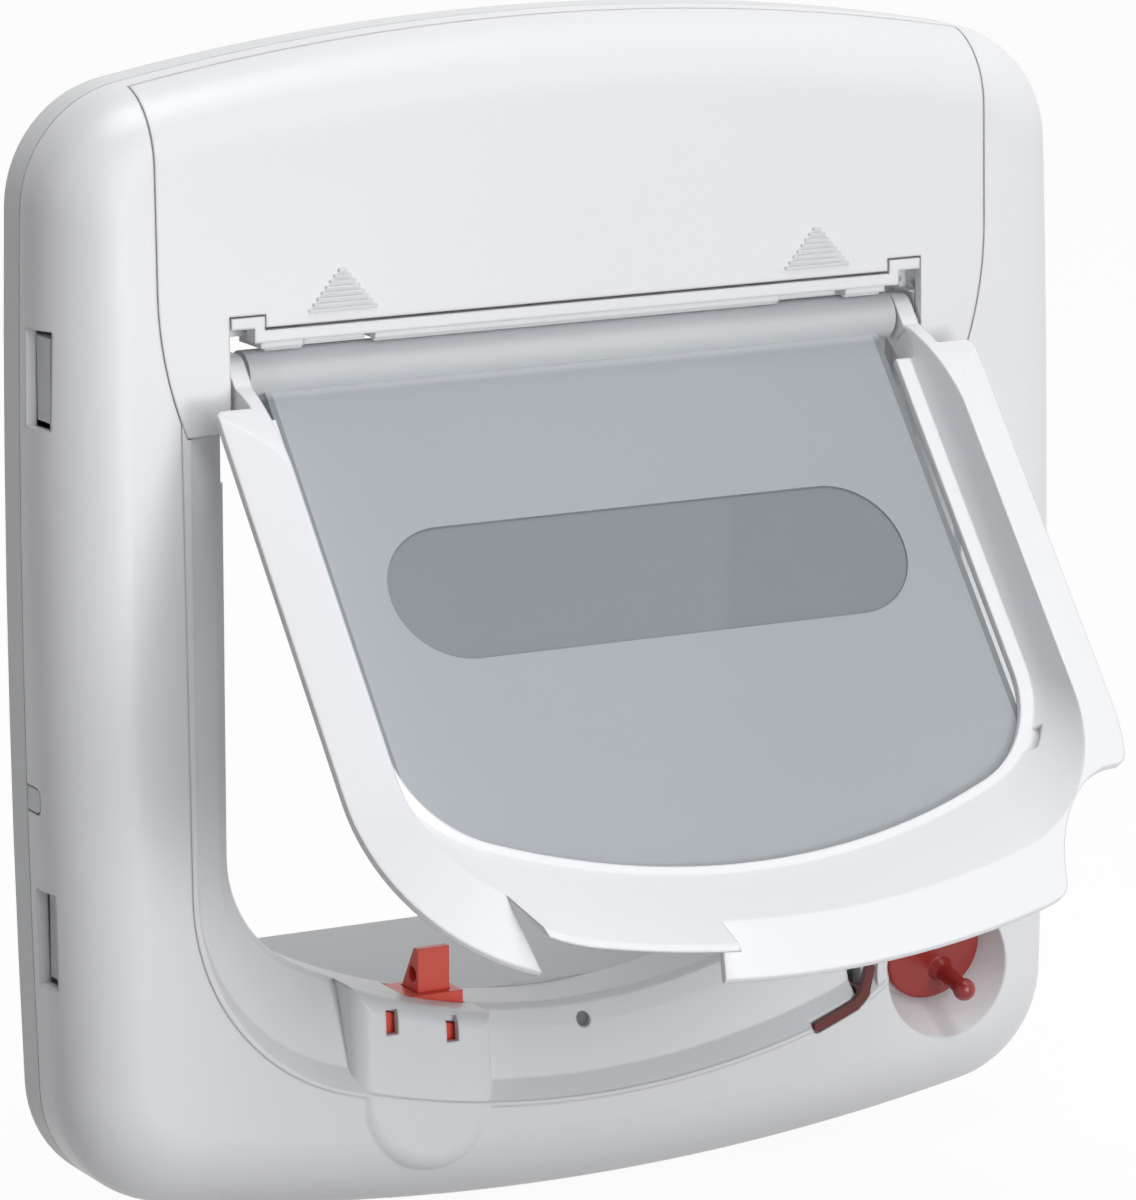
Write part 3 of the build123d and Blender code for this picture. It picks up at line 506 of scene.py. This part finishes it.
class FLAP_OT_shell(bpy.types.Operator):
    """White mouldings: frame, top cover, hinge bar, swing surround, back plate, tunnel and tray"""

    bl_idname = "flap.shell"
    bl_label = "Dress the white mouldings"

    def execute(self, context):
        colours = context.scene.flap_colours
        # ABS moulded in a lightly eroded tool: satin white with a soft highlight on the bulged edges
        shell = moulded_plastic(
            "ABS moulded satin white",
            tuple(colours.shell),
            roughness=0.36,
            grain_mm=0.9,
            grain_depth_mm=0.012,
            edge_mm=0.9,
        )
        # ABS from a coarser tool: a flat white with hardly any highlight
        inner = moulded_plastic(
            "ABS moulded matt white",
            tuple(colours.inner),
            roughness=0.5,
            grain_mm=0.8,
            grain_depth_mm=0.02,
            edge_mm=0.5,
        )
        dress(["front_cover", "top_cover", "hinge_bar", "flap_surround"], shell)
        dress(["back_plate", "tunnel_liner", "battery_tray"], inner)
        return {"FINISHED"}


class FLAP_OT_panel(bpy.types.Operator):
    """Clear panel"""

    bl_idname = "flap.panel"
    bl_label = "Dress the clear panel"

    def execute(self, context):
        # Polycarbonate moulded against an eroded tool: a milky grey that hides what is behind it,
        # with a polished window and sides that stay clear and catch thin highlights
        panel = hazy_panel(
            "Polycarbonate moulded hazy", context.scene.flap_colours, context.scene.flap_sizes
        )
        dress(["flap_panel"], panel)
        return {"FINISHED"}


class FLAP_OT_controls(bpy.types.Operator):
    """Red catch, carrier, knob, spindle and lock strip"""

    bl_idname = "flap.controls"
    bl_label = "Dress the red controls"

    def execute(self, context):
        colours = context.scene.flap_colours
        smooth = {"grain_mm": 0.7, "grain_depth_mm": 0.006, "tone": 0.08}
        # Acetal moulded smooth: saturated red with a waxy highlight
        # Red lifted above the acetal's own: painted light on the catch and its carrier
        red = moulded_plastic(
            "Acetal red with painted light", tuple(colours.red), roughness=0.3, edge_mm=0.5, **smooth
        )
        # The same red acetal made near black: painted shade on the lock strip in its slot
        dark = moulded_plastic(
            "Acetal red with painted slot shade", tuple(colours.dark_red), roughness=0.34, edge_mm=0.4, **smooth
        )
        # The same red acetal made darker: painted shade on the knob
        knob = moulded_plastic(
            "Acetal red with painted knob shade", tuple(colours.knob_red_painted_shade), roughness=0.3, edge_mm=0.5, **smooth
        )
        dress(["catch_bolt", "catch_guide"], red)
        dress(["selector_knob", "selector_spindle"], knob)
        dress(["lock_slider"], dark)
        return {"FINISHED"}


class FLAP_OT_inside(bpy.types.Operator):
    """Pins, screws, magnets, coil, cells, board and lens"""

    bl_idname = "flap.inside"
    bl_label = "Dress the inner pieces"

    def execute(self, context):
        # Zinc-plated steel: bluish grey with fine drawing lines
        steel = plated_metal("Steel zinc plated", linear("#B9BCBF"), roughness=0.28, streak_mm=0.4)
        # Enamelled copper winding: reddish, with the turns as streaks
        copper = plated_metal(
            "Copper enamelled winding", linear("#B4683C"), roughness=0.3, streak_mm=0.3
        )
        # Sintered ferrite: dull charcoal, slightly grainy
        ferrite = moulded_plastic(
            "Ferrite sintered",
            linear("#2B2C2E"),
            roughness=0.6,
            grain_mm=0.4,
            grain_depth_mm=0.03,
            edge_mm=0.2,
            tone=0.2,
        )
        # PVC sleeve shrunk on the cells: dark grey, smooth and a little glossy
        sleeve = moulded_plastic(
            "PVC shrink sleeve",
            linear("#3A3D42"),
            roughness=0.3,
            grain_mm=1.2,
            grain_depth_mm=0.004,
            edge_mm=0.3,
            tone=0.1,
        )
        # Solder resist on glass epoxy: deep green, with the weave as a faint unevenness
        board = moulded_plastic(
            "Glass epoxy with solder resist",
            linear("#1F5B3A"),
            roughness=0.35,
            grain_mm=0.5,
            grain_depth_mm=0.01,
            edge_mm=0.2,
            tone=0.2,
        )
        # Acrylic moulded in a polished tool: smoky grey with a sharp highlight
        lens = moulded_plastic(
            "Acrylic moulded grey",
            linear("#6D7275"),
            roughness=0.2,
            grain_mm=0.8,
            grain_depth_mm=0.004,
            edge_mm=0.2,
        )
        dress(["hinge_pins", "bar_screws", "catch_spring", "coil_core", "spindle_clip"], steel)
        dress(["battery_contacts", "tray_screws", "board_screws"], steel)
        dress(["latch_coil"], copper)
        dress(["sill_magnet", "panel_magnet"], ferrite)
        dress(["battery_cells"], sleeve)
        dress(["circuit_board"], board)
        dress(["sensor_lens"], lens)
        return {"FINISHED"}


class FLAP_OT_spring(bpy.types.Operator):
    """Return spring: a copy of the CAD spring with a mesh of its own, carried by the frame"""

    bl_idname = "flap.spring"
    bl_label = "Build the return spring"

    def execute(self, context):
        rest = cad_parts["catch_spring"]
        spring = bpy.data.objects.new("return_spring", rest.data.copy())
        spring.matrix_world = rest.matrix_world
        context.scene.collection.objects.link(spring)
        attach(spring, "frame")
        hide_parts("catch_spring")
        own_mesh(spring)
        return {"FINISHED"}


class FLAP_OT_stage(bpy.types.Operator):
    """Floor, backdrop, soft lights and the photograph's camera"""

    bl_idname = "flap.stage"
    bl_label = "Set the studio"

    def execute(self, context):
        scene = context.scene
        scene.view_settings.view_transform = "Standard"
        self.backdrop(scene)
        self.floor(scene)
        self.lamps(scene)
        self.camera(scene)
        return {"FINISHED"}

    def seen(self, owner):
        """1 where the camera sees the stage, also in a reflection or through clear plastic."""
        path = add_node(owner, "ShaderNodeLightPath").outputs
        mirrored = add_node(
            owner,
            "ShaderNodeMath",
            {0: path["Is Glossy Ray"], 1: path["Is Transmission Ray"]},
            operation="MAXIMUM",
        )
        either = add_node(
            owner,
            "ShaderNodeMath",
            {0: path["Is Camera Ray"], 1: mirrored.outputs["Value"]},
            operation="MAXIMUM",
        )
        return either.outputs["Value"]

    def backdrop(self, scene):
        """White to the eye. As light it is bright behind on the right and dark on the left."""
        world = clear_nodes(bpy.data.worlds.new("Studio"))
        scene.world = world
        place = add_node(world, "ShaderNodeTexCoord").outputs["Generated"]
        behind = add_node(
            world, "ShaderNodeVectorMath", {0: place, 1: SKY_BRIGHT_SIDE}, operation="DOT_PRODUCT"
        )
        light = add_node(
            world,
            "ShaderNodeMapRange",
            {
                "Value": behind.outputs["Value"],
                "From Min": SKY_TURN,
                "To Min": SKY_DARK,
                "To Max": SKY_BRIGHT,
            },
        )
        strength = add_node(
            world,
            "ShaderNodeMix",
            {"Factor": self.seen(world), VALUE_A: light.outputs["Result"], VALUE_B: SEEN_STRENGTH},
        )
        sky = add_node(
            world,
            "ShaderNodeBackground",
            {"Color": WHITE, "Strength": strength.outputs[VALUE_OUT]},
        )
        add_node(world, "ShaderNodeOutputWorld", {"Surface": sky.outputs["Background"]})

    def floor(self, scene):
        """Pale sheet under the frame, which keeps a faint shadow."""
        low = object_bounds()[0][2]
        corners = [
            (-FLOOR_HALF, -FLOOR_HALF, low),
            (FLOOR_HALF, -FLOOR_HALF, low),
            (FLOOR_HALF, FLOOR_HALF, low),
            (-FLOOR_HALF, FLOOR_HALF, low),
        ]
        mesh = bpy.data.meshes.new("Floor")
        mesh.from_pydata(corners, [], [(0, 1, 2, 3)])
        floor = bpy.data.objects.new("Floor", mesh)
        scene.collection.objects.link(floor)
        # Matt paper: an even white that shows only the shadow
        material = clear_nodes(bpy.data.materials.new("Paper sheet white"))
        paper = add_node(material, "ShaderNodeBsdfDiffuse", {"Color": FLOOR_GREY})
        glow = add_node(material, "ShaderNodeEmission", {"Strength": FLOOR_GLOW})
        share = add_node(
            material,
            "ShaderNodeMath",
            {0: self.seen(material), 1: FLOOR_GLOW_SHARE},
            operation="MULTIPLY",
        )
        mix = add_node(
            material,
            "ShaderNodeMixShader",
            {0: share.outputs["Value"], 1: paper.outputs["BSDF"], 2: glow.outputs["Emission"]},
        )
        add_node(material, "ShaderNodeOutputMaterial", {"Surface": mix.outputs["Shader"]})
        mesh.materials.append(material)
        floor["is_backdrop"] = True

    def lamps(self, scene):
        """Large soft boxes above and in front, and a small low one that reaches under the open flap."""
        studio = scene.flap_studio
        for name, place, size, power in (
            ("Top", (-0.05, -0.4, 1.6), 0.9, studio.top_power),
            ("Front", (0.05, -1.5, 0.4), 1.0, studio.front_power),
            ("Low", (0.1, -0.65, -0.05), 0.15, studio.low_power),
        ):
            lamp = bpy.data.lights.new(name, "AREA")
            lamp.size = size
            lamp.energy = power
            body = bpy.data.objects.new(name, lamp)
            body.location = place
            body.visible_camera = False
            body.rotation_euler = (-Vector(place)).to_track_quat("-Z", "Y").to_euler()
            scene.collection.objects.link(body)

    def camera(self, scene):
        """Camera at the photograph's angle."""
        studio = scene.flap_studio
        turn, rise = studio.azimuth, studio.elevation
        ahead = Vector(
            (math.sin(turn) * math.cos(rise), math.cos(turn) * math.cos(rise), -math.sin(rise))
        )
        right = Vector((math.cos(turn), -math.sin(turn), 0))
        up = right.cross(ahead)
        eye = right * studio.aside + up * studio.above - ahead * studio.distance
        lens = bpy.data.cameras.new("Camera")
        lens.sensor_fit = "VERTICAL"
        lens.sensor_height = SENSOR_HEIGHT
        lens.lens = studio.lens
        lens.clip_start = NEAREST
        camera = bpy.data.objects.new("Camera", lens)
        axes = Matrix((right, up, -ahead)).transposed()
        camera.matrix_world = Matrix.Translation(eye) @ axes.to_4x4()
        scene.collection.objects.link(camera)
        scene.camera = camera


class FLAP_PT_panel(bpy.types.Panel):
    """Lists the dressing steps"""

    bl_idname = "FLAP_PT_panel"
    bl_label = "Cat flap"
    bl_space_type = "VIEW_3D"
    bl_region_type = "UI"
    bl_category = "Cat flap"

    def draw(self, context):
        scene = context.scene
        for step in STEPS:
            self.layout.operator(step.bl_idname)
        for group in (scene.flap_colours, scene.flap_sizes, scene.flap_studio):
            for name in group.__annotations__:
                self.layout.prop(group, name)


STEPS = (
    FLAP_OT_shell,
    FLAP_OT_panel,
    FLAP_OT_controls,
    FLAP_OT_inside,
    FLAP_OT_spring,
    FLAP_OT_stage,
)
CLASSES = (FLAP_PG_colours, FLAP_PG_sizes, FLAP_PG_studio) + STEPS + (FLAP_PT_panel,)


def register():
    for cls in CLASSES:
        bpy.utils.register_class(cls)
    bpy.types.Scene.flap_colours = bpy.props.PointerProperty(type=FLAP_PG_colours)
    bpy.types.Scene.flap_sizes = bpy.props.PointerProperty(type=FLAP_PG_sizes)
    bpy.types.Scene.flap_studio = bpy.props.PointerProperty(type=FLAP_PG_studio)


def unregister():
    del bpy.types.Scene.flap_studio
    del bpy.types.Scene.flap_sizes
    del bpy.types.Scene.flap_colours
    for cls in reversed(CLASSES):
        bpy.utils.unregister_class(cls)


def main():
    register()
    bpy.ops.flap.shell()
    bpy.ops.flap.panel()
    bpy.ops.flap.controls()
    bpy.ops.flap.inside()
    bpy.ops.flap.spring()
    bpy.ops.flap.stage()


if __name__ == "__main__":
    main()
